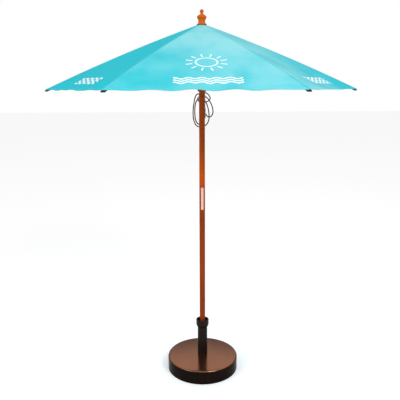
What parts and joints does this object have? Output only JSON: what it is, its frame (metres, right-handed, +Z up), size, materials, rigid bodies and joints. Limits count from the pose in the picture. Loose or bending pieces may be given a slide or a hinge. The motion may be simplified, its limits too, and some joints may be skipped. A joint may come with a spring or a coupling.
{
  "type": "beach umbrella",
  "caption": "Hexagonal pulley parasol on a two-part wooden pole in a heavy round base; ribs, struts and runner fold, pole swivels and lifts out.",
  "frame": {"origin": "centre of the base's underside, on the ground", "axes": "+Z up along the pole; front towards -Y; two of the six ribs along +X and -X"},
  "size_m": [2, 1.7406, 2.4373],
  "materials": {
    "base_plastic": "glossy dark brown moulded plastic",
    "concrete": "cast filling",
    "foot_rubber": "soft matte",
    "tube_plastic": "satin dark brown paint",
    "collar_plastic": "glossy dark brown",
    "brass_nut": "turned",
    "knob_plastic": "satin",
    "steel": "zinc plated",
    "sleeve_plastic": "satin",
    "pole_wood": "stained and lacquered, reddish brown",
    "hub_wood": "stained and lacquered",
    "rib_wood": "stained and lacquered",
    "finial_wood": "turned, lacquered, orange",
    "label": "blank sticker",
    "rope": "braided cord",
    "disc": "dark reinforcing disc",
    "pulley": "turned",
    "tip_plastic": "moulded",
    "canopy": "turquoise woven polyester"
  },
  "bodies": {
    "base": {"base_shell": "base_plastic", "base_filling": "concrete", "base_feet": "foot_rubber", "socket_tube": "tube_plastic", "tube_collar": "collar_plastic", "collar_nut": "brass_nut"},
    "clamp_pad": {"clamp_pad": "knob_plastic"},
    "clamp_screw": {"clamp_screw": "steel", "clamp_knob": "knob_plastic"},
    "pole_sleeve": {"pole_sleeve": "sleeve_plastic"},
    "lower_pole": {"lower_pole": "pole_wood", "pole_foot_cap": "knob_plastic", "spigot_liner": "steel", "pole_label": "label"},
    "upper_pole": {"upper_pole": "pole_wood", "joint_spigot": "steel", "top_hub": "hub_wood", "hub_pins": "steel", "pulley_axle": "steel", "hoist_rope": "rope", "crown_disc": "disc"},
    "pulley_wheel": {"pulley_wheel": "pulley"},
    "finial": {"finial": "finial_wood", "finial_stud": "steel"},
    "runner": {"runner": "hub_wood", "runner_pins": "steel", "rope": "rope", "rope_knot": "rope"},
    "locking_pin": {"pin_chain": "steel", "locking_pin": "steel"},
    "rib_1": {"rib_1": "rib_wood", "rib_bracket_1": "steel", "rib_tip_1": "tip_plastic", "canopy_section_1": "canopy"},
    "strut_1": {"strut_1": "rib_wood"},
    "rib_2": {"rib_2": "rib_wood", "rib_bracket_2": "steel", "rib_tip_2": "tip_plastic", "canopy_section_2": "canopy"},
    "strut_2": {"strut_2": "rib_wood"},
    "rib_3": {"rib_3": "rib_wood", "rib_bracket_3": "steel", "rib_tip_3": "tip_plastic", "canopy_section_3": "canopy"},
    "strut_3": {"strut_3": "rib_wood"},
    "rib_4": {"rib_4": "rib_wood", "rib_bracket_4": "steel", "rib_tip_4": "tip_plastic", "canopy_section_4": "canopy"},
    "strut_4": {"strut_4": "rib_wood"},
    "rib_5": {"rib_5": "rib_wood", "rib_bracket_5": "steel", "rib_tip_5": "tip_plastic", "canopy_section_5": "canopy"},
    "strut_5": {"strut_5": "rib_wood"},
    "rib_6": {"rib_6": "rib_wood", "rib_bracket_6": "steel", "rib_tip_6": "tip_plastic", "canopy_section_6": "canopy"},
    "strut_6": {"strut_6": "rib_wood"}
  },
  "joints": [
    {"name": "clamp_turn_travel", "type": "slide", "parent": "base", "child": "clamp_pad", "axis": [0, 1, 0], "range_m": [0, 0.006]},
    {"name": "clamp_knob_turn", "type": "hinge", "parent": "clamp_pad", "child": "clamp_screw", "pos_m": [0, 0.044, 0.3393], "axis": [0, 1, 0], "range_deg": [0, 1080]},
    {"name": "pole_swivel", "type": "hinge", "parent": "base", "child": "pole_sleeve", "pos_m": [0, 0, 0.326], "axis": [0, 0, 1], "continuous": true},
    {"name": "pole_lift", "type": "slide", "parent": "pole_sleeve", "child": "lower_pole", "axis": [0, 0, 1], "range_m": [0, 0.3]},
    {"name": "upper_pole_lift", "type": "slide", "parent": "lower_pole", "child": "upper_pole", "axis": [0, 0, 1], "range_m": [0, 0.08]},
    {"name": "canopy_fold", "type": "hinge", "parent": "upper_pole", "child": "rib_1", "pos_m": [0.019, -0.03291, 2.32471], "axis": [0.866, 0.5, 0], "range_deg": [0, 64], "deforming": ["canopy_section_1"]},
    {"name": "rib_2_fold", "type": "hinge", "parent": "upper_pole", "child": "rib_2", "pos_m": [0.038, 0, 2.32471], "axis": [0, 1, 0], "range_deg": [0, 64], "deforming": ["canopy_section_2"]},
    {"name": "rib_3_fold", "type": "hinge", "parent": "upper_pole", "child": "rib_3", "pos_m": [0.019, 0.03291, 2.32471], "axis": [-0.866, 0.5, 0], "range_deg": [0, 64], "deforming": ["canopy_section_3"]},
    {"name": "rib_4_fold", "type": "hinge", "parent": "upper_pole", "child": "rib_4", "pos_m": [-0.019, 0.03291, 2.32471], "axis": [-0.866, -0.5, 0], "range_deg": [0, 64], "deforming": ["canopy_section_4"]},
    {"name": "rib_5_fold", "type": "hinge", "parent": "upper_pole", "child": "rib_5", "pos_m": [-0.038, 0, 2.32471], "axis": [0, -1, 0], "range_deg": [0, 64], "deforming": ["canopy_section_5"]},
    {"name": "rib_6_fold", "type": "hinge", "parent": "upper_pole", "child": "rib_6", "pos_m": [-0.019, -0.03291, 2.32471], "axis": [0.866, -0.5, 0], "range_deg": [0, 64], "deforming": ["canopy_section_6"]},
    {"name": "strut_1_fold", "type": "hinge", "parent": "rib_1", "child": "strut_1", "pos_m": [0.21957, -0.38031, 2.15135], "axis": [0.866, 0.5, 0], "range_deg": [-128, 0]},
    {"name": "strut_2_fold", "type": "hinge", "parent": "rib_2", "child": "strut_2", "pos_m": [0.43915, 0, 2.15135], "axis": [0, 1, 0], "range_deg": [-128, 0]},
    {"name": "strut_3_fold", "type": "hinge", "parent": "rib_3", "child": "strut_3", "pos_m": [0.21957, 0.38031, 2.15135], "axis": [-0.866, 0.5, 0], "range_deg": [-128, 0]},
    {"name": "strut_4_fold", "type": "hinge", "parent": "rib_4", "child": "strut_4", "pos_m": [-0.21957, 0.38031, 2.15135], "axis": [-0.866, -0.5, 0], "range_deg": [-128, 0]},
    {"name": "strut_5_fold", "type": "hinge", "parent": "rib_5", "child": "strut_5", "pos_m": [-0.43915, 0, 2.15135], "axis": [0, -1, 0], "range_deg": [-128, 0]},
    {"name": "strut_6_fold", "type": "hinge", "parent": "rib_6", "child": "strut_6", "pos_m": [-0.21957, -0.38031, 2.15135], "axis": [0.866, -0.5, 0], "range_deg": [-128, 0]},
    {"name": "runner_fold", "type": "hinge", "parent": "strut_1", "child": "runner", "pos_m": [0.019, -0.03291, 1.978], "axis": [0.866, 0.5, 0], "range_deg": [0, 64]},
    {"name": "pulley_spin", "type": "hinge", "parent": "upper_pole", "child": "pulley_wheel", "pos_m": [0, 0, 2.262], "axis": [1, 0, 0], "range_deg": [0, 1920]},
    {"name": "finial_unscrew", "type": "hinge", "parent": "upper_pole", "child": "finial", "pos_m": [0, 0, 2.342], "axis": [0, 0, 1], "continuous": true},
    {"name": "locking_pin_swing", "type": "hinge", "parent": "runner", "child": "locking_pin", "pos_m": [0.02151, 0.01293, 1.931], "axis": [0, -1, 0], "range_deg": [0, 30]}
  ],
  "couplings": [
    {"joint": "clamp_turn_travel", "follows": "clamp_knob_turn", "m_per_rad": 0.00031831},
    {"joint": "rib_2_fold", "follows": "canopy_fold", "ratio": 1},
    {"joint": "rib_3_fold", "follows": "canopy_fold", "ratio": 1},
    {"joint": "rib_4_fold", "follows": "canopy_fold", "ratio": 1},
    {"joint": "rib_5_fold", "follows": "canopy_fold", "ratio": 1},
    {"joint": "rib_6_fold", "follows": "canopy_fold", "ratio": 1},
    {"joint": "strut_1_fold", "follows": "canopy_fold", "ratio": -2},
    {"joint": "strut_2_fold", "follows": "canopy_fold", "ratio": -2},
    {"joint": "strut_3_fold", "follows": "canopy_fold", "ratio": -2},
    {"joint": "strut_4_fold", "follows": "canopy_fold", "ratio": -2},
    {"joint": "strut_5_fold", "follows": "canopy_fold", "ratio": -2},
    {"joint": "strut_6_fold", "follows": "canopy_fold", "ratio": -2},
    {"joint": "runner_fold", "follows": "canopy_fold", "ratio": 1},
    {"joint": "pulley_spin", "follows": "canopy_fold", "ratio": 30}
  ]
}
